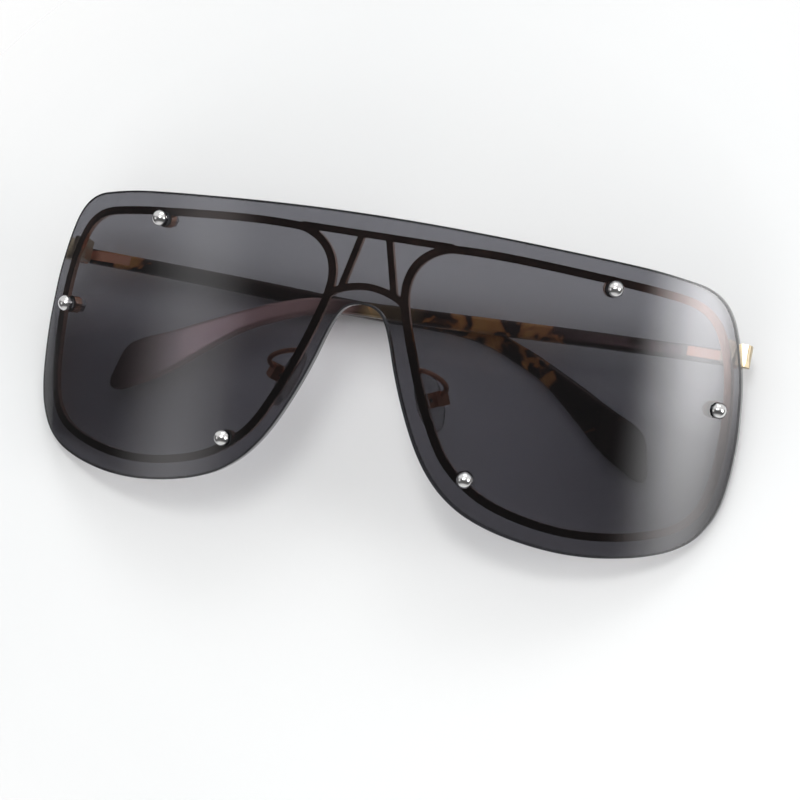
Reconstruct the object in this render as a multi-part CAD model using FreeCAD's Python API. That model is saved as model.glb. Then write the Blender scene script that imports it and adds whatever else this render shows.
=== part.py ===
"""Oversized one-piece shield sunglasses with folded tortoiseshell temples.

Sizes are in millimetres. Everything is first built as the glasses are worn:
X to the wearer's left, Y up along the lens, Z out of the lens front, with the
origin on the lens front. At the end all pieces are turned together so that
the folded glasses lie on their temples, lens up, and +Z is up.
"""
import FreeCAD
import Part
import math
import os

from FreeCAD import Placement, Rotation, Vector

os.makedirs("parts", exist_ok=True)

# Lens
lens_width = 148.0
lens_height = 60.4
lens_thickness = 2.0
wrap_radius = 115.2
lens_outline_shares = [
    (0.000, 0.611), (0.162, 0.609), (0.324, 0.603), (0.486, 0.594), (0.639, 0.584),
    (0.736, 0.575), (0.816, 0.561), (0.870, 0.546), (0.911, 0.515), (0.941, 0.465),
    (0.962, 0.397), (0.978, 0.320), (0.990, 0.240), (0.997, 0.141), (1.000, 0.050),
    (0.996, -0.061), (0.986, -0.149), (0.967, -0.219), (0.932, -0.285), (0.881, -0.331),
    (0.815, -0.361), (0.743, -0.379), (0.678, -0.387), (0.608, -0.387), (0.538, -0.378),
    (0.465, -0.361), (0.403, -0.339), (0.341, -0.306), (0.286, -0.259), (0.246, -0.209),
    (0.212, -0.152), (0.178, -0.078), (0.142, 0.018), (0.112, 0.113), (0.088, 0.202),
    (0.071, 0.255), (0.053, 0.290), (0.031, 0.308), (0.000, 0.315)]

# Metal front behind the lens
rim_gap = 0.4
rim_depth = 1.5
rim_width = 1.6
rim_centre_shares = [
    (0.220, 0.540), (0.324, 0.541), (0.459, 0.534), (0.595, 0.523), (0.703, 0.513),
    (0.788, 0.501), (0.853, 0.480), (0.894, 0.438), (0.920, 0.377), (0.938, 0.306),
    (0.949, 0.225), (0.955, 0.132), (0.955, 0.041), (0.951, -0.050), (0.939, -0.136),
    (0.916, -0.204), (0.876, -0.255), (0.822, -0.286), (0.750, -0.309), (0.673, -0.320),
    (0.599, -0.320), (0.524, -0.308), (0.453, -0.287), (0.389, -0.258), (0.338, -0.221),
    (0.296, -0.179), (0.259, -0.126), (0.224, -0.050), (0.189, 0.041), (0.161, 0.129),
    (0.135, 0.217), (0.116, 0.290), (0.104, 0.354), (0.104, 0.414), (0.122, 0.472),
    (0.162, 0.518)]
brow_height = 1.4
brow_level_share = 0.545
brow_half_share = 0.209
arch_height = 1.4
arch_centre_shares = [
    (0.106, 0.329), (0.092, 0.345), (0.066, 0.360), (0.033, 0.371), (0.000, 0.375)]
strut_width = 1.3
strut_top_shares = (0.037, 0.545)
strut_foot_shares = (0.074, 0.358)

# Screws that hold the lens to the rims
screw_place_shares = [(0.643, 0.494), (0.943, 0.152), (0.341, -0.196)]
lug_foot_shares = [(0.643, 0.519), (0.954, 0.150), (0.320, -0.203)]
shank_radius = 0.6
screw_clearance = 0.05
dome_radius = 1.65
dome_height = 1.15
neck_radius = 1.25
neck_height = 0.2
washer_radius = 1.5
washer_height = 0.35
bush_radius = 1.0
bush_clearance = 0.03
spacer_radius = 1.5
lug_radius = 1.75
nut_width = 2.6
nut_height = 1.1
shank_end = 0.25

# Hinges
hinge_place_share = 0.336
hinge_edge_share = 0.976
hinge_setback = 4.0
lens_lean = 12.0
barrel_radius = 1.1
barrel_height = 4.5
middle_height = 1.5
part_gap = 0.3
hinge_pin_radius = 0.55
hinge_head_radius = 0.95
hinge_head_height = 0.45
head_slot_width = 0.3
head_slot_depth = 0.2
pin_seat = 0.02
running_clearance = 0.05

# End pieces
end_overhang = -0.6
end_proud = 0.3
end_stop_gap = 0.5
end_web_front = 2.6
end_root_share = 0.931
end_root_half = 1.4
end_root_bite = 0.8
end_rounding = 0.9

# Temples
temple_length = 126.3
temple_thickness = 2.4
temple_bow = 6.0
bow_start_share = 0.55
temple_rounding = 0.7
upper_edge_shares = [
    (0.000, 0.012), (0.282, 0.006), (0.565, -0.003), (0.661, -0.007), (0.705, -0.013),
    (0.744, -0.025), (0.792, -0.045), (0.839, -0.068), (0.887, -0.093), (0.934, -0.118),
    (0.968, -0.135), (0.981, -0.146), (0.988, -0.158), (0.993, -0.177), (0.998, -0.200)]
lower_edge_shares = [
    (0.999, -0.214), (0.996, -0.222), (0.987, -0.224), (0.970, -0.217), (0.934, -0.196),
    (0.903, -0.173), (0.871, -0.144), (0.835, -0.112), (0.797, -0.083), (0.756, -0.062),
    (0.713, -0.044), (0.669, -0.033), (0.631, -0.029), (0.565, -0.028), (0.282, -0.020),
    (0.000, -0.013)]
leaf_start = 0.6
leaf_length = 9.0
leaf_height = 2.0
leaf_depth = 0.7
tip_gap = 4.0
stack_angle = 2.4

# Nose pads
pad_place_shares = (0.198, 0.034)
pad_setback = 5.2
pad_length = 12.5
pad_width = 6.6
pad_thickness = 2.0
pad_rounding = 0.8
pad_splay = 35.0
pad_flare = 22.0
tab_width = 1.4
tab_height = 2.0
pad_pin_offset = 2.3
tab_end = 0.7
box_wall = 0.6
box_height = 3.0
box_front_gap = 0.5
box_back_gap = 0.5
pad_pin_radius = 0.4
arm_radius = 0.5
arm_foot_shares = (0.161, 0.129)
arm_back = 1.2
arm_rise = 1.0
arm_clear = 1.3
arm_bulge = 0.6

# How the folded glasses lie
rest_tilt = 19.0
rest_roll = -0.5

# Cuts run past the faces they open by this much
overrun = 1.0

half_width = lens_width / 2
front_axis = Vector(0, 0, -wrap_radius)
up = Vector(0, 1, 0)
out = Vector(0, 0, 1)
side = Vector(1, 0, 0)
lens_back = wrap_radius - lens_thickness
rim_front = lens_back - rim_gap
rim_back = rim_front - rim_depth


def at(shares):
    """Turn a pair of shares into a point on the lens plane."""
    return Vector(shares[0] * half_width, shares[1] * lens_height, 0)


def depth(radius, x):
    """Give how far behind the lens front a radius of the wrap lies at a distance from the middle."""
    return wrap_radius - math.sqrt(radius ** 2 - x ** 2)


def drum(radius):
    """Give a solid cylinder about the upright axis that the lens wraps round."""
    return Part.makeCylinder(radius, 2 * lens_height, front_axis - up * lens_height, up)


def band(outer, inner):
    """Give the space between two radii about the wrap axis."""
    return drum(outer).cut(drum(inner))


def prism(wire):
    """Push a flat outline on the lens plane through the wrapped front."""
    front_depth = depth(rim_back, half_width) + overrun
    slab = Part.Face(wire).extrude(out * (front_depth + overrun))
    slab.translate(out * (-front_depth))
    return slab


def closed(points):
    """Give a smooth closed wire through the points."""
    curve = Part.BSplineCurve()
    curve.interpolate(Points=points, PeriodicFlag=True)
    return Part.Wire([curve.toShape()])


def open_curve(points):
    """Give a smooth edge through the points."""
    curve = Part.BSplineCurve()
    curve.interpolate(points)
    return curve.toShape()


def polygon(points):
    """Give a closed wire with straight sides."""
    return Part.makePolygon(points + [points[0]])


def beside(points, shift, loop):
    """Move each point of a line to its left by the shift."""
    moved = []
    last = len(points) - 1
    for i, point in enumerate(points):
        before = points[i - 1] if loop or i > 0 else point
        after = points[(i + 1) % len(points)] if loop or i < last else point
        along = (after - before).normalize()
        moved.append(point + Vector(-along.y, along.x, 0) * shift)
    return moved


def mirrored(shape):
    """Give the same piece for the other side of the face."""
    return shape.mirror(Vector(0, 0, 0), side)


def radial(shape, place):
    """Move a piece built on the lens front's middle round the wrap to a place."""
    moved = shape.copy()
    moved.translate(up * place.y)
    turn = math.degrees(math.asin(place.x / wrap_radius))
    moved.rotate(front_axis, up, turn)
    return moved


def rod(radius, start, end):
    """Give a round bar along Z between two heights."""
    return Part.makeCylinder(radius, end - start, out * start, out)


def block(x, y, z):
    """Give a box from pairs of limits along X, Y and Z."""
    low = Vector(x[0], y[0], z[0])
    return Part.makeBox(x[1] - x[0], y[1] - y[0], z[1] - z[0], low)


# Lens outline, both halves
right_half = [at(pair) for pair in lens_outline_shares]
left_half = [Vector(-p.x, p.y, 0) for p in reversed(right_half[1:-1])]
lens = prism(closed(right_half + left_half)).common(band(wrap_radius, lens_back))

# Screw stacks, six around the lens
screw_places = []
for pair in screw_place_shares:
    for hand in (1, -1):
        screw_places.append(at((hand * pair[0], pair[1])))
stack_top = washer_height + neck_height
sphere_radius = (dome_radius ** 2 + dome_height ** 2) / (2 * dome_height)
sphere_centre = stack_top + dome_height - sphere_radius
rim_back_depth = wrap_radius - rim_back
shank_tip = -(rim_back_depth + nut_height + shank_end)
dome = Part.makeSphere(sphere_radius, out * sphere_centre)
dome = dome.common(rod(dome_radius + overrun, stack_top, stack_top + dome_height + overrun))
screw = dome.fuse(rod(neck_radius, washer_height, stack_top))
screw = screw.fuse(rod(shank_radius, shank_tip, stack_top)).removeSplitter()
hole_radius = shank_radius + screw_clearance
hole = rod(hole_radius, shank_tip - overrun, washer_height + overrun)
washer = rod(washer_radius, -overrun, washer_height).cut(drum(wrap_radius)).cut(hole)
bush = rod(bush_radius, -lens_thickness - overrun, overrun).common(band(wrap_radius, lens_back)).cut(hole)
spacer = rod(spacer_radius, -lens_thickness - rim_gap - overrun, 0).common(band(lens_back, rim_front)).cut(hole)
nut_corner = nut_width / math.sqrt(3)
nut_points = []
for step in range(6):
    angle = math.radians(60 * step)
    nut_points.append(Vector(nut_corner * math.cos(angle), nut_corner * math.sin(angle), 0))
nut = Part.Face(polygon(nut_points)).extrude(out * (nut_height + overrun))
nut.translate(out * (-rim_back_depth - nut_height))
nut = nut.common(drum(rim_back)).cut(hole)
lug = rod(lug_radius, -rim_back_depth - overrun, 0).common(band(rim_front, rim_back))
bush_hole = rod(bush_radius + bush_clearance, -lens_thickness - overrun, overrun)
for place in screw_places:
    lens = lens.cut(radial(bush_hole, place))


def all_round(shape):
    """Give six copies of a piece, one at each lens screw."""
    return Part.makeCompound([radial(shape, place) for place in screw_places])


# Rims with their screw lugs
rim_centre = [at(pair) for pair in rim_centre_shares]
rim_outer = prism(closed(beside(rim_centre, rim_width / 2, True)))
rim_inner = prism(closed(beside(rim_centre, -rim_width / 2, True)))
right_rim = rim_outer.cut(rim_inner).common(band(rim_front, rim_back))
rim_middle = (rim_front + rim_back) / 2
right_places = [place for place in screw_places if place.x > 0]
for place, foot_pair in zip(right_places, lug_foot_shares):
    foot = at(foot_pair)
    lug_centre = Vector(place.x * rim_middle / wrap_radius, place.y, 0)
    neck_side = (lug_centre - foot).normalize().cross(out) * (rim_width / 2)
    neck_points = [foot + neck_side, lug_centre + neck_side, lug_centre - neck_side, foot - neck_side]
    neck = prism(polygon(neck_points)).common(band(rim_front, rim_back))
    right_rim = right_rim.fuse(radial(lug, place)).fuse(neck)
right_rim = right_rim.removeSplitter()
for place in right_places:
    right_rim = right_rim.cut(radial(hole, place))
left_rim = mirrored(right_rim)

# Brow bar, bridge arch and the two slanting struts between them
front_band = band(rim_front, rim_back)
brow_middle = brow_level_share * lens_height
brow_half = brow_half_share * half_width
brow_low = brow_middle - brow_height / 2
brow_high = brow_middle + brow_height / 2
brow_points = [Vector(-brow_half, brow_low, 0), Vector(brow_half, brow_low, 0),
               Vector(brow_half, brow_high, 0), Vector(-brow_half, brow_high, 0)]
brow_bar = prism(polygon(brow_points)).common(front_band).cut(right_rim).cut(left_rim)
arch_right = [at(pair) for pair in arch_centre_shares]
arch_left = [Vector(-p.x, p.y, 0) for p in reversed(arch_right[:-1])]
arch_line = arch_right + arch_left
arch_upper = beside(arch_line, -arch_height / 2, False)
arch_lower = beside(arch_line, arch_height / 2, False)
arch_wire = Part.Wire([
    open_curve(arch_upper), Part.makeLine(arch_upper[-1], arch_lower[-1]),
    open_curve(arch_lower), Part.makeLine(arch_lower[0], arch_upper[0])])
bridge_arch = prism(arch_wire).common(front_band).cut(right_rim).cut(left_rim)
strut_line = [at(strut_top_shares), at(strut_foot_shares)]
strut_one = beside(strut_line, strut_width / 2, False)
strut_two = beside(strut_line, -strut_width / 2, False)
right_strut = prism(polygon([strut_one[0], strut_one[1], strut_two[1], strut_two[0]]))
right_strut = right_strut.common(front_band).cut(brow_bar).cut(bridge_arch)
left_strut = mirrored(right_strut)

# Hinge frame: X sideways, Y along the pin, Z forward
temple_face = barrel_radius + part_gap
end_outer = temple_face + temple_thickness
hinge_x = half_width + end_overhang - end_outer
# The hinge lies behind the lens edge, and as deep as the folded temple's tip needs
tip_drop = -lower_edge_shares[0][1] * temple_length * math.sin(math.radians(lens_lean))
tip_depth = depth(lens_back, temple_length - hinge_x) + tip_gap
edge_depth = depth(lens_back, hinge_edge_share * half_width)
hinge_depth = max(edge_depth + hinge_setback, tip_depth + temple_bow + tip_drop - temple_face)
hinge_point = Vector(hinge_x, hinge_place_share * lens_height, -hinge_depth)
hinge_place = Placement(hinge_point, Rotation(side, -lens_lean))
pin_line = hinge_place.Rotation.multVec(up)


def upright(radius, low, high):
    """Give a round bar along the hinge pin's line."""
    return Part.makeCylinder(radius, high - low, up * low, up)


def in_hinge(shape):
    """Move a piece from the hinge frame to its place on the face."""
    moved = shape.copy()
    moved.Placement = hinge_place.multiply(moved.Placement)
    return moved


half_barrel = barrel_height / 2
half_middle = middle_height / 2
web_back = barrel_radius + part_gap
root_x = end_root_share * half_width - hinge_x
root_front = hinge_depth - depth(rim_back, end_root_share * half_width) + end_root_bite
root_outer = root_x + end_root_half
root_inner = root_x - end_root_half
end_face = end_outer + end_proud
end_points = [
    Vector(end_face, 0, end_stop_gap), Vector(end_face, 0, end_web_front),
    Vector(root_outer, 0, end_web_front), Vector(root_outer, 0, root_front),
    Vector(root_inner, 0, root_front), Vector(root_inner, 0, web_back),
    Vector(web_back, 0, web_back), Vector(web_back, 0, end_stop_gap)]
end_solid = Part.Face(polygon(end_points)).extrude(up * barrel_height)
end_solid.translate(up * (-half_barrel))
outer_edges = []
for edge in end_solid.Edges:
    ends = [vertex.Point for vertex in edge.Vertexes]
    on_outside = all(abs(p.x - end_face) < part_gap and p.z > web_back for p in ends)
    if on_outside and abs(ends[0].y - ends[1].y) > middle_height:
        outer_edges.append(edge)
end_solid = end_solid.makeFillet(end_rounding, outer_edges)
right_end_piece = in_hinge(end_solid).common(drum(rim_front)).cut(right_rim)
left_end_piece = mirrored(right_end_piece)

# Front hinge knuckles, above and below the temple's one
knuckle_bore = upright(hinge_pin_radius + pin_seat, -half_barrel - overrun, half_barrel + overrun)
knuckles = []
for low, high in ((-half_barrel, -half_middle - part_gap), (half_middle + part_gap, half_barrel)):
    foot = block((-barrel_radius, barrel_radius), (low, high), (0, web_back))
    knuckles.append(foot.fuse(upright(barrel_radius, low, high)).removeSplitter().cut(knuckle_bore))
right_front_hinge = in_hinge(Part.makeCompound(knuckles))
left_front_hinge = mirrored(right_front_hinge)

# Hinge screw with a slotted head
pin = upright(hinge_pin_radius, -half_barrel, half_barrel)
head = upright(hinge_head_radius, half_barrel, half_barrel + hinge_head_height)
slot = block((-hinge_head_radius - overrun, hinge_head_radius + overrun),
             (half_barrel + hinge_head_height - head_slot_depth, half_barrel + hinge_head_height + overrun),
             (-head_slot_width / 2, head_slot_width / 2))
right_hinge_screw = in_hinge(pin.fuse(head).removeSplitter().cut(slot))
left_hinge_screw = mirrored(right_hinge_screw)

# Temple hinge: middle knuckle, foot and a leaf let into the temple
leaf = block((-leaf_start - leaf_length, -leaf_start), (-leaf_height / 2, leaf_height / 2),
             (-temple_face - leaf_depth, -temple_face))
foot = block((-barrel_radius, 0), (-half_middle, half_middle), (-temple_face, 0))
arm_bore = upright(hinge_pin_radius + running_clearance, -half_middle - overrun, half_middle + overrun)
temple_knuckle = foot.fuse(upright(barrel_radius, -half_middle, half_middle)).fuse(leaf)
temple_knuckle = temple_knuckle.removeSplitter().cut(arm_bore)
right_temple_hinge = in_hinge(temple_knuckle)

# Temple: side outline pushed through a strip that bows inward at the tip
upper_edge = [Vector(-u * temple_length, v * temple_length, 0) for u, v in upper_edge_shares]
lower_edge = [Vector(-u * temple_length, v * temple_length, 0) for u, v in lower_edge_shares]
outline = Part.Wire([open_curve(upper_edge + lower_edge), Part.makeLine(lower_edge[-1], upper_edge[0])])
reach = temple_thickness + temple_bow + temple_face
outline_solid = Part.Face(outline).extrude(out * (2 * reach))
outline_solid.translate(out * (-reach))


def bowed(face_depth):
    """Give the points of one face of the temple, seen from above."""
    points = []
    for step in range(15):
        share = step / 14
        past = max(0.0, share - bow_start_share) / (1 - bow_start_share)
        points.append(Vector(-share * (temple_length + overrun), -temple_length / 2,
                             -face_depth + temple_bow * past * past))
    return points


inner_face = bowed(temple_face)
outer_face = bowed(temple_face + temple_thickness)
strip = Part.Wire([
    open_curve(inner_face), Part.makeLine(inner_face[-1], outer_face[-1]),
    open_curve(list(reversed(outer_face))), Part.makeLine(outer_face[0], inner_face[0])])
strip_solid = Part.Face(strip).extrude(up * temple_length)
temple = outline_solid.common(strip_solid)
temple = temple.makeFillet(temple_rounding, temple.Edges)
temple = temple.cut(leaf)
right_temple = in_hinge(temple)

# The left temple lies over the folded right one, so it is folded a little less
left_hinge_point = Vector(-hinge_point.x, hinge_point.y, hinge_point.z)
left_temple = mirrored(right_temple)
left_temple_hinge = mirrored(right_temple_hinge)
for shape in (left_temple, left_temple_hinge):
    shape.rotate(left_hinge_point, pin_line, stack_angle)

# Nose pad frame: X across the pad, Y up it, Z towards the nose
pad_place = at(pad_place_shares)
pad_place.z = -depth(lens_back, pad_place.x) - pad_setback
pad_turn = Rotation(out, pad_flare).multiply(Rotation(up, -pad_splay)).multiply(Rotation(up, -90))
pad_frame = Placement(pad_place, pad_turn)


def in_pad(shape):
    """Move a piece from the nose pad's frame to its place on the face."""
    moved = shape.copy()
    moved.Placement = pad_frame.multiply(moved.Placement)
    return moved


half_pad = pad_thickness / 2
pin_level = -pad_pin_offset
oval = Part.Ellipse(Vector(0, 0, 0), pad_length / 2, pad_width / 2).toShape()
oval.rotate(Vector(0, 0, 0), out, 90)
pad = Part.Face(Part.Wire([oval])).extrude(out * pad_thickness)
pad.translate(out * (-half_pad))
pad = pad.makeFillet(pad_rounding, [edge for edge in pad.Edges if edge.Closed])
tab = block((-tab_width / 2, tab_width / 2), (-tab_height / 2, tab_height / 2), (pin_level - tab_end, 0))
cross_low = -(tab_width / 2 + part_gap + box_wall)


def cross(radius, extra):
    """Give a round bar along the pad pin's line."""
    start = Vector(cross_low - extra, 0, pin_level)
    return Part.makeCylinder(radius, 2 * (extra - cross_low), start, side)


pad = pad.fuse(tab).removeSplitter().cut(cross(pad_pin_radius + running_clearance, overrun))
right_nose_pad = in_pad(pad)
left_nose_pad = mirrored(right_nose_pad)
slot_half = tab_width / 2 + part_gap
box_half = slot_half + box_wall
box_front = -half_pad - box_front_gap
slot_back = pin_level - tab_end - box_back_gap
box = block((-box_half, box_half), (-box_height / 2, box_height / 2), (slot_back - box_wall, box_front))
box = box.cut(block((-slot_half, slot_half), (-box_height, box_height), (slot_back, box_front + overrun)))
box = box.cut(cross(pad_pin_radius + pin_seat, overrun))
right_pad_box = in_pad(box)
left_pad_box = mirrored(right_pad_box)
right_pad_pin = in_pad(cross(pad_pin_radius, 0))
left_pad_pin = mirrored(right_pad_pin)

# Pad arm: a bent wire from the rim's nose side to the back of the pad box
foot_flat = at(arm_foot_shares)
arm_start = Vector(foot_flat.x, foot_flat.y, rim_depth / 2 - depth(rim_back, foot_flat.x))
box_back = pad_frame.multVec(out * (slot_back - box_wall / 2))
away = pad_turn.multVec(out * -1)
arm_end = box_back + pad_turn.multVec(up) * (box_height / 4)
arm_points = [arm_start, arm_start - out * arm_back + away * arm_bulge,
              arm_end + away * arm_clear + up * arm_rise, arm_end]
arm_curve = open_curve(arm_points)
arm_start_direction = arm_curve.tangentAt(arm_curve.FirstParameter)
arm_ring = Part.Wire([Part.makeCircle(arm_radius, arm_start, arm_start_direction)])
arm = Part.Wire([arm_curve]).makePipeShell([arm_ring], True, False)
right_pad_arm = arm.cut(right_rim).cut(right_pad_box)
left_pad_arm = mirrored(right_pad_arm)

pieces = {
    "shield_lens": lens,
    "right_rim": right_rim, "left_rim": left_rim,
    "brow_bar": brow_bar, "bridge_arch": bridge_arch,
    "right_strut": right_strut, "left_strut": left_strut,
    "lens_screws": all_round(screw), "lens_washers": all_round(washer),
    "lens_bushes": all_round(bush), "lens_spacers": all_round(spacer),
    "lens_nuts": all_round(nut),
    "right_end_piece": right_end_piece, "left_end_piece": left_end_piece,
    "right_front_hinge": right_front_hinge, "left_front_hinge": left_front_hinge,
    "right_hinge_screw": right_hinge_screw, "left_hinge_screw": left_hinge_screw,
    "right_temple_hinge": right_temple_hinge, "left_temple_hinge": left_temple_hinge,
    "right_temple": right_temple, "left_temple": left_temple,
    "right_pad_arm": right_pad_arm, "left_pad_arm": left_pad_arm,
    "right_pad_box": right_pad_box, "left_pad_box": left_pad_box,
    "right_pad_pin": right_pad_pin, "left_pad_pin": left_pad_pin,
    "right_nose_pad": right_nose_pad, "left_nose_pad": left_nose_pad,
}

# Lay the glasses down on their folded temples
lying = Placement(Vector(0, 0, 0), Rotation(side, rest_tilt).multiply(Rotation(up, rest_roll)))
for shape in pieces.values():
    shape.Placement = lying.multiply(shape.Placement)
whole = Part.makeCompound(list(pieces.values())).optimalBoundingBox()
drop = Vector(-(whole.XMin + whole.XMax) / 2, -(whole.YMin + whole.YMax) / 2, -whole.ZMin)
for name, shape in pieces.items():
    shape.translate(drop)
    shape.exportStep("parts/" + name + ".step")
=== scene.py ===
"""Looks of the folded shield sunglasses: finishes with some painted light and shade, the lens's dark edge as
painted shade, floor, studio light and camera.
"""

import bpy
import numpy as np
from mathutils import Matrix, Vector


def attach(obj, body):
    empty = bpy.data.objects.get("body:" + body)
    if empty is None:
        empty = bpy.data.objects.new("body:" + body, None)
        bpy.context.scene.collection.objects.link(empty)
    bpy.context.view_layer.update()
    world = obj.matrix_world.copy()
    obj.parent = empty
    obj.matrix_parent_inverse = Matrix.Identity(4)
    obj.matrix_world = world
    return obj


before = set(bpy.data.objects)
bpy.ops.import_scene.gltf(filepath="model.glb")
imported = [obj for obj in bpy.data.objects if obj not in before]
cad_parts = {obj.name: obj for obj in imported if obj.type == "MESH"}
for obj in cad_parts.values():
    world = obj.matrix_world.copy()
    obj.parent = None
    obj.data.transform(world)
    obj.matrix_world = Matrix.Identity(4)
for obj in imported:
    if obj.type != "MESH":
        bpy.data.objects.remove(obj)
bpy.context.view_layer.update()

# Camera of the photograph: place in metres, lens and sensor in millimetres
CAMERA_PLACE = (0.136831, -0.166373, 0.564458)
CAMERA_RIGHT = (0.96161, 0.22121, -0.16266)
CAMERA_UP = (-0.16156, 0.93480, 0.31616)
CAMERA_FORWARD = (-0.22201, 0.27773, -0.93468)
CAMERA_LENS = 130.5
CAMERA_SENSOR = 36.0
CAMERA_NEAR = 0.01

# The lens is part of a drum: a point on its axis, the axis's direction, and the direction across the lens
WRAP_CENTRE = (0.000759, 0.027882, -0.078025)
WRAP_AXIS = (0.0, 0.945519, 0.325568)
WRAP_ACROSS = (0.999962, -0.002841, 0.008251)
WRAP_RADIUS = 0.1152
LENS_THICKNESS = 0.002
LENS_HALF_WIDTH = 0.074
LENS_HEIGHT = 0.0604

# Right half of the lens outline, as shares of the half width and the height
LENS_OUTLINE = (
    (0.000, 0.611), (0.162, 0.609), (0.324, 0.603), (0.486, 0.594), (0.639, 0.584), (0.736, 0.575),
    (0.816, 0.561), (0.870, 0.546), (0.911, 0.515), (0.941, 0.465), (0.962, 0.397), (0.978, 0.320),
    (0.990, 0.240), (0.997, 0.141), (1.000, 0.050), (0.996, -0.061), (0.986, -0.149), (0.967, -0.219),
    (0.932, -0.285), (0.881, -0.331), (0.815, -0.361), (0.743, -0.379), (0.678, -0.387), (0.608, -0.387),
    (0.538, -0.378), (0.465, -0.361), (0.403, -0.339), (0.341, -0.306), (0.286, -0.259), (0.246, -0.209),
    (0.212, -0.152), (0.178, -0.078), (0.142, 0.018), (0.112, 0.113), (0.088, 0.202), (0.071, 0.255),
    (0.053, 0.290), (0.031, 0.308), (0.000, 0.315))

# Dark ring of painted shade on the lens's edge, for the dark line the cut edge shows: its distance off the lens
# and reach onto the faces, and points per stretch
EDGE_SKIN = 0.000015
EDGE_LIP = 0.00040
EDGE_SAMPLES = 8

# Colours as linear values
# Lens tones: the smoke's own colour with painted shade towards the foot (LOW, MIDDLE) and painted light towards
# the head (HIGH, TOP); HIGH is a painted light band just above the folded temples
SMOKE_TOP = (0.205, 0.204, 0.226, 1.0)
SMOKE_HIGH = (0.220, 0.219, 0.240, 1.0)
SMOKE_MIDDLE = (0.108, 0.106, 0.121, 1.0)
SMOKE_LOW = (0.098, 0.096, 0.110, 1.0)
# Painted shade: the lens's cut edge darkened to the dark line it shows
SMOKE_EDGE_PAINTED_SHADE = (0.020, 0.020, 0.024, 1.0)
SMOKE_SHADOW = (0.42, 0.42, 0.44, 1.0)
# Painted shade: the dark ring over the lens's cut edge, and its grain tone
PAINTED_SHADE_RING = (0.016, 0.016, 0.018, 1.0)
PAINTED_SHADE_RING_GRAINED = (0.026, 0.026, 0.029, 1.0)
COPPER = (0.900, 0.500, 0.330, 1.0)
COPPER_DEEP = (0.660, 0.310, 0.190, 1.0)
ROSE_GOLD = (0.780, 0.470, 0.330, 1.0)
ROSE_GOLD_DEEP = (0.560, 0.290, 0.190, 1.0)
PALE_GOLD = (0.660, 0.570, 0.420, 1.0)
PALE_GOLD_DEEP = (0.530, 0.430, 0.280, 1.0)
CHROME = (0.800, 0.795, 0.790, 1.0)
CHROME_DULL = (0.660, 0.655, 0.655, 1.0)
STEEL = (0.560, 0.560, 0.570, 1.0)
STEEL_DULL = (0.400, 0.400, 0.420, 1.0)
NYLON = (0.070, 0.070, 0.074, 1.0)
NYLON_DULL = (0.045, 0.045, 0.048, 1.0)
SILICONE = (0.930, 0.930, 0.920, 1.0)
SILICONE_CLOUD = (0.850, 0.850, 0.840, 1.0)
SHELL_DARK = (0.010, 0.006, 0.004, 1.0)
SHELL_BROWN = (0.060, 0.022, 0.008, 1.0)
SHELL_AMBER = (0.440, 0.170, 0.042, 1.0)
SHELL_HONEY = (0.620, 0.310, 0.085, 1.0)
# Painted highlight: pale pink for the sheen on the face of the right temple's paddle
SHELL_PAINTED_SHEEN = (0.680, 0.440, 0.410, 1.0)
SHELL_SHEEN = (1.000, 0.640, 0.600, 1.0)
# Painted shade: amber as it looks in shade
SHELL_AMBER_PAINTED_SHADE = (0.120, 0.090, 0.045, 1.0)
FLOOR_WHITE = (0.880, 0.890, 0.890, 1.0)
FLOOR_SHADE = (0.850, 0.862, 0.865, 1.0)

# Surface grain: height in metres, the broad noise's scale as a share of the fine one's, and the levels of the
# broad noise below which a surface has its worn colour and above which it has its clean one
GRAIN_HEIGHT = 0.00002
GRAIN_BROAD_SHARE = 0.2
GRAIN_WORN_AT = 0.35
GRAIN_CLEAN_AT = 0.65

# Lens smoke with painted light and shade: the foot and head along Y in metres and the tones between them, darker
# towards the foot as painted shade and lighter towards the head as painted light, with a painted light band just
# above the folded temples that cancels their shadow; how far the surface's normal follows the drum's radius on
# the cut edge and on the faces, and the index of refraction
PAINTED_LIGHT_FOOT = -0.020
PAINTED_LIGHT_HEAD = 0.024
SMOKE_AND_PAINTED_LIGHT_STOPS = ((0.0, SMOKE_LOW), (0.45, SMOKE_MIDDLE), (0.73, SMOKE_HIGH), (1.0, SMOKE_TOP))
EDGE_NORMAL = 0.35
FACE_NORMAL = 0.80
LENS_INDEX = 1.56

# Tortoiseshell: scale and push (in metres) of the noise that bends the clouds, the clouds' own scale, roughness
# and lift on a flecked stretch, the steps of colour, the full core of a stretch as a share of its half length,
# the index of refraction, the polish, and the roughness that handling adds
BEND_PER_METRE = 140.0
BEND_PUSH = (0.010, 0.010, 0.010)
CLOUDS_PER_METRE = 190.0
CLOUD_ROUGHNESS = 0.45
CLOUD_LIFT = 0.245
SHELL_STOPS = ((0.69, SHELL_DARK), (0.74, SHELL_BROWN), (0.78, SHELL_AMBER), (0.88, SHELL_HONEY))
STRETCH_CORE = 0.45
SHELL_INDEX = 1.49
SHELL_COAT = 0.35
SHELL_COAT_ROUGHNESS = 0.06
WORN_ROUGHNESS = 0.45

# Silicone of the nose pads: how clear it is, and the index of refraction
SILICONE_CLEAR = 0.85
SILICONE_INDEX = 1.41

# Floor: half its side, and the distances between which its paint thins out
FLOOR_HALF = 0.2
FLOOR_SOLID = 0.090
FLOOR_END = 0.140

# Room: its colour and the backdrop's, the strength of its light from the horizon up, and the dark gap overhead
# that mirrors and glass show, with its strengths and its place and ends along the drum's axis
ROOM_GREY = (0.8, 0.8, 0.8, 1.0)
BACKDROP_WHITE = (1.0, 1.0, 1.0, 1.0)
LIGHT_LOW, LIGHT_HIGH, LIGHT_HIGH_AT = 0.12, 0.93, 0.9
GAP_DARK, GAP_PALE = 0.12, 1.0
GAP_SHIFT, GAP_START, GAP_END = 0.26, 0.30, 0.66

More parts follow.
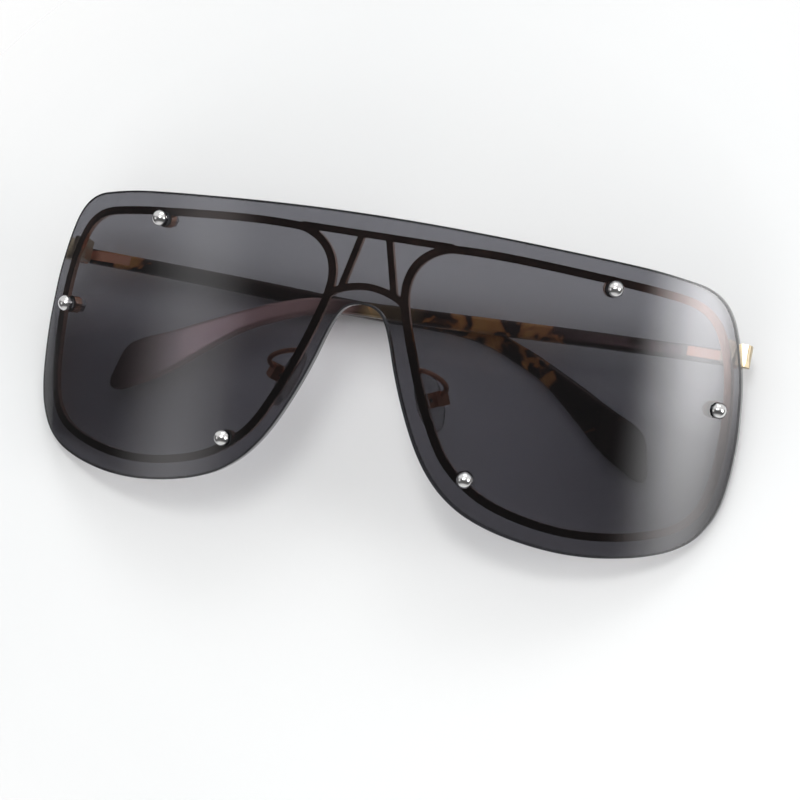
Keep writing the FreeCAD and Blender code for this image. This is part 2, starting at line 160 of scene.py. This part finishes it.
# Lamps: the point they face, in metres, and the middle of a lamp's sheet as a share of each side
LAMP_AIM = (0, 0, 0.02)
LAMP_MIDDLE = 0.5


def put(tree, socket, value):
    """Link a socket to an output, or give it a plain value."""
    if isinstance(value, bpy.types.NodeSocket):
        tree.links.new(value, socket)
    else:
        socket.default_value = value


def maths(tree, operation, *values):
    """The result of one Math node on sockets or numbers."""
    node = tree.nodes.new("ShaderNodeMath")
    node.operation = operation
    for socket, value in zip(node.inputs, values):
        put(tree, socket, value)
    return node.outputs[0]


def vector_maths(tree, operation, *values):
    """The result of one Vector Math node: a number for a length or a dot product, else a vector."""
    node = tree.nodes.new("ShaderNodeVectorMath")
    node.operation = operation
    for socket, value in zip(node.inputs, values):
        put(tree, socket, value)
    return node.outputs["Value" if operation in ("DOT_PRODUCT", "LENGTH") else "Vector"]


def map_range(tree, value, from_low, from_high, to_low=0.0, to_high=1.0, smooth=False):
    """Carry a value from one range to another, held at its ends, in a straight or a smooth step."""
    node = tree.nodes.new("ShaderNodeMapRange")
    node.interpolation_type = "SMOOTHSTEP" if smooth else "LINEAR"
    put(tree, node.inputs["Value"], value)
    for name, end in zip(("From Min", "From Max", "To Min", "To Max"), (from_low, from_high, to_low, to_high)):
        node.inputs[name].default_value = end
    return node.outputs["Result"]


def noise(tree, place, scale, detail):
    """A noise texture at a place."""
    node = tree.nodes.new("ShaderNodeTexNoise")
    put(tree, node.inputs["Vector"], place)
    put(tree, node.inputs["Scale"], scale)
    node.inputs["Detail"].default_value = detail
    return node


def colour_ramp(tree, value, stops):
    """The colour of a value on a ramp of (position, colour) stops in rising order."""
    node = tree.nodes.new("ShaderNodeValToRGB")
    elements = node.color_ramp.elements
    for index, (position, colour) in ((0, stops[0]), (1, stops[-1])):
        elements[index].position, elements[index].color = position, colour
    for position, colour in stops[1:-1]:
        elements.new(position).color = colour
    put(tree, node.inputs["Fac"], value)
    return node.outputs["Color"]


def mix_colour(tree, share, first, second):
    """A colour between two by a share."""
    node = tree.nodes.new("ShaderNodeMix")
    node.data_type = "RGBA"
    for index, value in ((0, share), (6, first), (7, second)):
        put(tree, node.inputs[index], value)
    return node.outputs[2]


def mix_shaders(tree, share, first, second):
    """A shader between two by a share."""
    node = tree.nodes.new("ShaderNodeMixShader")
    for socket, value in zip(node.inputs, (share, first, second)):
        tree.links.new(value, socket)
    return node.outputs["Shader"]


def object_place(tree):
    """Object coordinates."""
    return tree.nodes.new("ShaderNodeTexCoord").outputs["Object"]


def split_vector(tree, vector):
    """A vector's X, Y and Z by name."""
    node = tree.nodes.new("ShaderNodeSeparateXYZ")
    tree.links.new(vector, node.inputs["Vector"])
    return node.outputs


def surface_grain_group():
    """Fine unevenness of a worked surface: two sizes of noise; their sum about its mean moves the roughness."""
    group = bpy.data.node_groups.new("surface_grain", "ShaderNodeTree")
    for name, value in (("Grain per metre", 900.0), ("Roughness", 0.2), ("Spread", 0.1)):
        socket = group.interface.new_socket(name=name, in_out="INPUT", socket_type="NodeSocketFloat")
        socket.default_value = value
    for name in ("Roughness", "Height", "Mask"):
        group.interface.new_socket(name=name, in_out="OUTPUT", socket_type="NodeSocketFloat")
    given = group.nodes.new("NodeGroupInput").outputs
    out = group.nodes.new("NodeGroupOutput").inputs
    place = object_place(group)
    grain = given["Grain per metre"]
    broad_grain = maths(group, "MULTIPLY", grain, GRAIN_BROAD_SHARE)
    fine = noise(group, place, grain, detail=4.0).outputs["Fac"]
    broad = noise(group, place, broad_grain, detail=3.0).outputs["Fac"]
    about_mean = maths(group, "SUBTRACT", maths(group, "ADD", fine, broad), 1.0)
    rough = maths(group, "MULTIPLY_ADD", about_mean, given["Spread"], given["Roughness"])
    rough.node.use_clamp = True
    for name, value in (("Roughness", rough), ("Height", fine), ("Mask", broad)):
        group.links.new(value, out[name])
    return group


SURFACE_GRAIN = surface_grain_group()


def surface_grain(tree, grain, roughness, spread):
    """The surface grain placed in a material with its own values."""
    node = tree.nodes.new("ShaderNodeGroup")
    node.node_tree = SURFACE_GRAIN
    for name, value in (("Grain per metre", grain), ("Roughness", roughness), ("Spread", spread)):
        node.inputs[name].default_value = value
    return node.outputs


def new_material(name):
    """An empty material with one Principled shader on its output."""
    material = bpy.data.materials.new(name)
    material.use_nodes = True
    tree = material.node_tree
    tree.nodes.clear()
    out = tree.nodes.new("ShaderNodeOutputMaterial").inputs["Surface"]
    shader = tree.nodes.new("ShaderNodeBsdfPrincipled")
    tree.links.new(shader.outputs["BSDF"], out)
    return material, tree, shader, out


def grained(tree, shader, colour, colour_worn, roughness, spread, grain, bump):
    """Give a shader two close colours by the broad noise, bump by the fine one, and roughness by both."""
    grain_of = surface_grain(tree, grain, roughness, spread)
    tones = ((GRAIN_WORN_AT, colour_worn), (GRAIN_CLEAN_AT, colour))
    tree.links.new(colour_ramp(tree, grain_of["Mask"], tones), shader.inputs["Base Color"])
    tree.links.new(grain_of["Roughness"], shader.inputs["Roughness"])
    bumps = tree.nodes.new("ShaderNodeBump")
    bumps.inputs["Strength"].default_value = bump
    bumps.inputs["Distance"].default_value = GRAIN_HEIGHT
    tree.links.new(grain_of["Height"], bumps.inputs["Height"])
    tree.links.new(bumps.outputs["Normal"], shader.inputs["Normal"])


def metal(name, colour, colour_worn, roughness, spread, grain, bump):
    """A worked metal finish."""
    material, tree, shader, _ = new_material(name)
    shader.inputs["Metallic"].default_value = 1.0
    grained(tree, shader, colour, colour_worn, roughness, spread, grain, bump)
    return material


def smoke_lens():
    """Clear smoke sheet, with painted shade towards its foot, painted light towards its head and in a band just
    above the folded temples, painted shade on its cut edge, and a faint haze on the polish.

    The edge is where the surface's normal stands across the drum's radius at that point.
    """
    material, tree, shader, out = new_material("smoke_lens")
    shader.inputs["Transmission Weight"].default_value = 1.0
    shader.inputs["IOR"].default_value = LENS_INDEX
    place = object_place(tree)
    up_lens = map_range(tree, split_vector(tree, place)["Y"], PAINTED_LIGHT_FOOT, PAINTED_LIGHT_HEAD)
    # Painted light and shade along Y: darker towards the foot, lighter towards the head, lighter still just
    # above the folded temples
    smoke_and_painted_light = colour_ramp(tree, up_lens, SMOKE_AND_PAINTED_LIGHT_STOPS)
    from_centre = vector_maths(tree, "SUBTRACT", place, WRAP_CENTRE)
    along = vector_maths(tree, "PROJECT", from_centre, WRAP_AXIS)
    radius = vector_maths(tree, "NORMALIZE", vector_maths(tree, "SUBTRACT", from_centre, along))
    normal = tree.nodes.new("ShaderNodeNewGeometry").outputs["Normal"]
    facing = maths(tree, "ABSOLUTE", vector_maths(tree, "DOT_PRODUCT", radius, normal))
    face_mask = map_range(tree, facing, EDGE_NORMAL, FACE_NORMAL)
    # Painted shade on the cut edge, the smoke with its painted light and shade on the faces
    tree.links.new(mix_colour(tree, face_mask, SMOKE_EDGE_PAINTED_SHADE, smoke_and_painted_light), shader.inputs["Base Color"])
    haze = surface_grain(tree, grain=260.0, roughness=0.02, spread=0.03)
    tree.links.new(haze["Roughness"], shader.inputs["Roughness"])
    through = tree.nodes.new("ShaderNodeBsdfTransparent")
    through.inputs["Color"].default_value = SMOKE_SHADOW
    shadow_ray = tree.nodes.new("ShaderNodeLightPath").outputs["Is Shadow Ray"]
    tree.links.new(mix_shaders(tree, shadow_ray, shader.outputs["BSDF"], through.outputs["BSDF"]), out)
    return material


def near_x(tree, along, middle, half):
    """A mask that is 1 at one distance along X and falls smoothly to 0 on both sides of it."""
    away = maths(tree, "ABSOLUTE", maths(tree, "SUBTRACT", along, middle))
    return map_range(tree, away, half, half * STRETCH_CORE, smooth=True)


def tortoiseshell(name, flecked, painted_light_stretches, worn, shift):
    """Polished acetate: near black, with amber clouds over some stretches of its length.

    One noise bends another, which is cut in colour steps. flecked are the (middle, half length) stretches
    along X that hold the amber clouds, toned those painted over in a colour of their own: painted highlights and
    painted shade, and worn is the stretch where handling has dulled the polish. shift moves the clouds.
    """
    material, tree, shader, _ = new_material(name)
    place = object_place(tree)
    along = split_vector(tree, place)["X"]
    moved = tree.nodes.new("ShaderNodeMapping")
    moved.inputs["Location"].default_value = shift
    tree.links.new(place, moved.inputs["Vector"])
    bend = noise(tree, moved.outputs["Vector"], BEND_PER_METRE, detail=2.0).outputs["Color"]
    bent = vector_maths(tree, "MULTIPLY_ADD", bend, BEND_PUSH, moved.outputs["Vector"])
    clouds = noise(tree, bent, CLOUDS_PER_METRE, detail=2.0)
    clouds.inputs["Roughness"].default_value = CLOUD_ROUGHNESS
    stretch = near_x(tree, along, *flecked[0])
    for middle, half in flecked[1:]:
        stretch = maths(tree, "MAXIMUM", stretch, near_x(tree, along, middle, half))
    level = maths(tree, "MULTIPLY_ADD", stretch, CLOUD_LIFT, clouds.outputs["Fac"])
    colour = colour_ramp(tree, level, SHELL_STOPS)
    # Painted light and shade over some stretches of the length
    for middle, half, tone in painted_light_stretches:
        colour = mix_colour(tree, near_x(tree, along, middle, half), colour, tone)
    tree.links.new(colour, shader.inputs["Base Color"])
    dull = near_x(tree, along, *worn)
    polished = surface_grain(tree, grain=500.0, roughness=0.16, spread=0.06)["Roughness"]
    rough = maths(tree, "MULTIPLY_ADD", dull, WORN_ROUGHNESS, polished)
    coat = map_range(tree, dull, 0.0, 1.0, SHELL_COAT, 0.0)
    tree.links.new(rough, shader.inputs["Roughness"])
    tree.links.new(coat, shader.inputs["Coat Weight"])
    shader.inputs["IOR"].default_value = SHELL_INDEX
    shader.inputs["Specular Tint"].default_value = SHELL_SHEEN
    shader.inputs["Coat Roughness"].default_value = SHELL_COAT_ROUGHNESS
    return material


def silicone():
    """Clear soft silicone with a slight cloud and a satin skin."""
    material, tree, shader, _ = new_material("clear_silicone")
    shader.inputs["Transmission Weight"].default_value = SILICONE_CLEAR
    shader.inputs["IOR"].default_value = SILICONE_INDEX
    grained(tree, shader, SILICONE, SILICONE_CLOUD, roughness=0.22, spread=0.10, grain=600.0, bump=0.10)
    return material


def plastic(name, colour, colour_worn, roughness, spread, grain, bump):
    """A solid plastic finish, moulded or cut."""
    material, tree, shader, _ = new_material(name)
    grained(tree, shader, colour, colour_worn, roughness, spread, grain, bump)
    return material


ROSE_GOLD_FRONT = metal(
    "rose_gold_front", ROSE_GOLD, ROSE_GOLD_DEEP, roughness=0.16, spread=0.10, grain=700.0, bump=0.08)
PALE_GOLD_ENDS = metal(
    "pale_gold_ends", PALE_GOLD, PALE_GOLD_DEEP, roughness=0.36, spread=0.10, grain=800.0, bump=0.10)
POLISHED_SCREWS = metal(
    "polished_screws", CHROME, CHROME_DULL, roughness=0.18, spread=0.06, grain=1500.0, bump=0.04)
COPPER_HINGES = metal(
    "copper_hinges", COPPER, COPPER_DEEP, roughness=0.38, spread=0.10, grain=800.0, bump=0.10)
TURNED_STEEL = metal(
    "turned_steel", STEEL, STEEL_DULL, roughness=0.24, spread=0.10, grain=1800.0, bump=0.12)
SMOKE_LENS = smoke_lens()
# The right temple's pale pink stretch is a painted highlight, the sheen its paddle's face reflects; its olive
# stretch is painted shade, amber as it looks in shade at the nose notch
RIGHT_SHELL = tortoiseshell(
    "right_tortoiseshell", flecked=[(0.016, 0.030)],
    painted_light_stretches=[(-0.034, 0.026, SHELL_PAINTED_SHEEN), (-0.002, 0.008, SHELL_AMBER_PAINTED_SHADE)],
    worn=(-0.058, 0.016), shift=(0.0, 0.0, 0.0))
LEFT_SHELL = tortoiseshell(
    "left_tortoiseshell", flecked=[(0.020, 0.023), (-0.060, 0.012)], painted_light_stretches=[],
    worn=(0.058, 0.016), shift=(0.021, 0.013, 0.0))
CLEAR_SILICONE = silicone()
MOULDED_NYLON = plastic(
    "moulded_nylon", NYLON, NYLON_DULL, roughness=0.42, spread=0.12, grain=900.0, bump=0.15)
# Painted shade: the dark ring over the lens's cut edge
PAINTED_SHADE_LENS_EDGE = plastic(
    "painted_shade_lens_edge", PAINTED_SHADE_RING, PAINTED_SHADE_RING_GRAINED, roughness=0.20, spread=0.08, grain=700.0, bump=0.05)

FINISHES = {
    "shield_lens": SMOKE_LENS, "brow_bar": ROSE_GOLD_FRONT, "bridge_arch": ROSE_GOLD_FRONT,
    "lens_screws": POLISHED_SCREWS, "lens_washers": POLISHED_SCREWS, "lens_nuts": TURNED_STEEL,
    "lens_bushes": MOULDED_NYLON, "lens_spacers": MOULDED_NYLON,
    "right_temple": RIGHT_SHELL, "left_temple": LEFT_SHELL,
}
PAIRED_FINISHES = {
    "rim": ROSE_GOLD_FRONT, "strut": ROSE_GOLD_FRONT, "end_piece": PALE_GOLD_ENDS,
    "front_hinge": COPPER_HINGES, "temple_hinge": COPPER_HINGES, "hinge_screw": TURNED_STEEL,
    "pad_arm": COPPER_HINGES, "pad_box": COPPER_HINGES, "pad_pin": TURNED_STEEL, "nose_pad": CLEAR_SILICONE,
}
for side in ("right", "left"):
    FINISHES.update({side + "_" + piece: finish for piece, finish in PAIRED_FINISHES.items()})
for node_name, finish in FINISHES.items():
    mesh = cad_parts[node_name].data
    mesh.materials.clear()
    mesh.materials.append(finish)


def lens_edge(name, skin, lip, samples):
    """A thin dark ring of painted shade that takes in the lens's cut edge, from its front face over the edge to
    its back face, for the dark line that the cut edge shows.

    The outline is the closed Catmull-Rom curve p(t) through the points p0, p1, p2, p3 about each stretch:
    p = (2 p1 + (p2 - p0) t + (2 p0 - 5 p1 + 4 p2 - p3) t^2 + (3 p1 - p0 - 3 p2 + p3) t^3) / 2.
    At each t the profile has four corners (w, r), lip inside the outline or skin outside it, on the radius r of
    the lens front or back moved out by skin. A corner is at q = p + w n, with n the outward normal, and at
    sqrt(r^2 - q_x^2) from the drum's axis line.
    """
    half = np.array(LENS_OUTLINE) * (LENS_HALF_WIDTH, LENS_HEIGHT)
    ring = np.concatenate([half, half[-2:0:-1] * (-1.0, 1.0)])
    step = np.arange(len(ring) * samples)
    at, t = step // samples, (step % samples)[:, None] / samples
    p0, p1, p2, p3 = (ring[(at + shift) % len(ring)] for shift in (-1, 0, 1, 2))
    a, b, c = p2 - p0, 2 * p0 - 5 * p1 + 4 * p2 - p3, 3 * p1 - p0 - 3 * p2 + p3
    path = (2 * p1 + a * t + b * t ** 2 + c * t ** 3) / 2
    along = (a + 2 * b * t + 3 * c * t ** 2) / 2
    normal = np.stack([-along[:, 1], along[:, 0]], axis=1) / np.linalg.norm(along, axis=1, keepdims=True)
    front, back = WRAP_RADIUS + skin, WRAP_RADIUS - LENS_THICKNESS - skin
    corners = np.array([(-lip, front), (skin, front), (skin, back), (-lip, back)])
    flat = path[:, None, :] + normal[:, None, :] * corners[None, :, 0:1]
    out_of = np.sqrt(corners[None, :, 1] ** 2 - flat[:, :, 0] ** 2)
    axis, across = np.array(WRAP_AXIS), np.array(WRAP_ACROSS)
    forward = np.cross(across, axis)
    points = (np.array(WRAP_CENTRE) + flat[:, :, 0:1] * across + flat[:, :, 1:2] * axis
              + out_of[:, :, None] * forward).reshape(-1, 3)
    row, corner = np.arange(len(path))[:, None], np.arange(4)[None, :]
    next_row, next_corner = (row + 1) % len(path), (corner + 1) % 4
    faces = np.stack([row * 4 + corner, next_row * 4 + corner, next_row * 4 + next_corner,
                      row * 4 + next_corner], axis=2).reshape(-1, 4)
    mesh = bpy.data.meshes.new(name)
    mesh.from_pydata(points.tolist(), [], faces.tolist())
    mesh.materials.append(PAINTED_SHADE_LENS_EDGE)
    piece = bpy.data.objects.new(name, mesh)
    bpy.context.scene.collection.objects.link(piece)
    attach(piece, "front")


lens_edge("lens_edge", EDGE_SKIN, EDGE_LIP, EDGE_SAMPLES)


def floor_paint():
    """Matt pale paint that thins out to nothing between two distances from the middle of the floor."""
    material, tree, shader, out = new_material("floor_paint")
    grained(tree, shader, FLOOR_WHITE, FLOOR_SHADE, roughness=0.6, spread=0.05, grain=30.0, bump=0.0)
    away = vector_maths(tree, "LENGTH", object_place(tree))
    thinning = map_range(tree, away, FLOOR_SOLID, FLOOR_END, smooth=True)
    bare = tree.nodes.new("ShaderNodeBsdfTransparent").outputs["BSDF"]
    tree.links.new(mix_shaders(tree, thinning, shader.outputs["BSDF"], bare), out)
    return material


floor_mesh = bpy.data.meshes.new("floor")
floor_mesh.from_pydata(
    [(-FLOOR_HALF, -FLOOR_HALF, 0), (FLOOR_HALF, -FLOOR_HALF, 0),
     (FLOOR_HALF, FLOOR_HALF, 0), (-FLOOR_HALF, FLOOR_HALF, 0)], [], [(0, 1, 2, 3)])
floor = bpy.data.objects.new("floor", floor_mesh)
bpy.context.scene.collection.objects.link(floor)
floor_mesh.materials.append(floor_paint())


def background(tree, colour, strength):
    """A background of a colour and a strength."""
    node = tree.nodes.new("ShaderNodeBackground")
    node.inputs["Color"].default_value = colour
    put(tree, node.inputs["Strength"], strength)
    return node.outputs["Background"]


def studio_world():
    """Light that falls mostly from above, and a white background.

    Metal and glass show a pale room with a dark gap overhead, across the lens, so that the lens stays deep.
    """
    world = bpy.data.worlds.new("studio")
    world.use_nodes = True
    tree = world.node_tree
    tree.nodes.clear()
    out = tree.nodes.new("ShaderNodeOutputWorld").inputs["Surface"]
    towards = tree.nodes.new("ShaderNodeTexCoord").outputs["Generated"]
    height = split_vector(tree, towards)["Z"]
    light = map_range(tree, height, 0.0, LIGHT_HIGH_AT, LIGHT_LOW, LIGHT_HIGH, smooth=True)
    up_lens = vector_maths(tree, "DOT_PRODUCT", towards, WRAP_AXIS)
    from_gap = maths(tree, "ABSOLUTE", maths(tree, "ADD", up_lens, GAP_SHIFT))
    pale = map_range(tree, from_gap, GAP_START, GAP_END, GAP_DARK, GAP_PALE, smooth=True)
    ray = tree.nodes.new("ShaderNodeLightPath").outputs
    mirror_or_glass = maths(tree, "MAXIMUM", ray["Is Glossy Ray"], ray["Is Transmission Ray"])
    lit, shown = background(tree, ROOM_GREY, light), background(tree, ROOM_GREY, pale)
    room = mix_shaders(tree, mirror_or_glass, lit, shown)
    backdrop = background(tree, BACKDROP_WHITE, 1.0)
    tree.links.new(mix_shaders(tree, ray["Is Camera Ray"], room, backdrop), out)
    return world


bpy.context.scene.world = studio_world()


def soft_lamp(name, place, size, power, in_mirrors=True, on_matt=True):
    """A rectangular lamp that faces the object and fades smoothly to nothing at its four sides."""
    data = bpy.data.lights.new(name, "AREA")
    data.shape = "RECTANGLE"
    data.size, data.size_y = size
    data.energy = power
    data.use_nodes = True
    tree = data.node_tree
    tree.nodes.clear()
    out = tree.nodes.new("ShaderNodeOutputLight")
    glow = tree.nodes.new("ShaderNodeEmission")
    tree.links.new(glow.outputs["Emission"], out.inputs["Surface"])
    sheet = split_vector(tree, tree.nodes.new("ShaderNodeNewGeometry").outputs["Parametric"])
    fades = []
    for side in ("X", "Y"):
        from_middle = maths(tree, "ABSOLUTE", maths(tree, "SUBTRACT", sheet[side], LAMP_MIDDLE))
        fades.append(map_range(tree, from_middle, LAMP_MIDDLE, 0.0, smooth=True))
    tree.links.new(maths(tree, "MULTIPLY", *fades), glow.inputs["Strength"])
    lamp = bpy.data.objects.new(name, data)
    bpy.context.scene.collection.objects.link(lamp)
    lamp.location = place
    lamp.rotation_mode = "QUATERNION"
    lamp.rotation_quaternion = (Vector(LAMP_AIM) - Vector(place)).to_track_quat("-Z", "Y")
    lamp.visible_camera = False
    lamp.visible_glossy = in_mirrors
    lamp.visible_diffuse = on_matt


soft_lamp("back_lamp", place=(0.10, 0.85, 0.75), size=(1.0, 0.8), power=8.0)
soft_lamp("front_lamp", place=(-0.10, -0.85, 0.75), size=(1.0, 0.8), power=6.5, in_mirrors=False)
soft_lamp("right_card", place=(0.798, -0.05, 0.419), size=(0.55, 0.50), power=9.4)
soft_lamp("left_card", place=(-0.762, -0.28, 0.485), size=(0.60, 0.60), power=1.55)
soft_lamp("top_lamp", place=(0.08, 0.05, 1.00), size=(0.44, 0.24), power=8.0)
soft_lamp("paddle_card", place=(-0.050, 0.05, 1.00), size=(0.13, 0.14), power=12.0, on_matt=False)

camera_data = bpy.data.cameras.new("camera")
camera_data.lens = CAMERA_LENS
camera_data.sensor_width = CAMERA_SENSOR
camera_data.clip_start = CAMERA_NEAR
camera = bpy.data.objects.new("camera", camera_data)
bpy.context.scene.collection.objects.link(camera)
camera_turn = Matrix((CAMERA_RIGHT, CAMERA_UP, -Vector(CAMERA_FORWARD))).transposed()
camera.matrix_world = Matrix.Translation(CAMERA_PLACE) @ camera_turn.to_4x4()
bpy.context.scene.camera = camera
bpy.context.scene.view_settings.view_transform = "Standard"
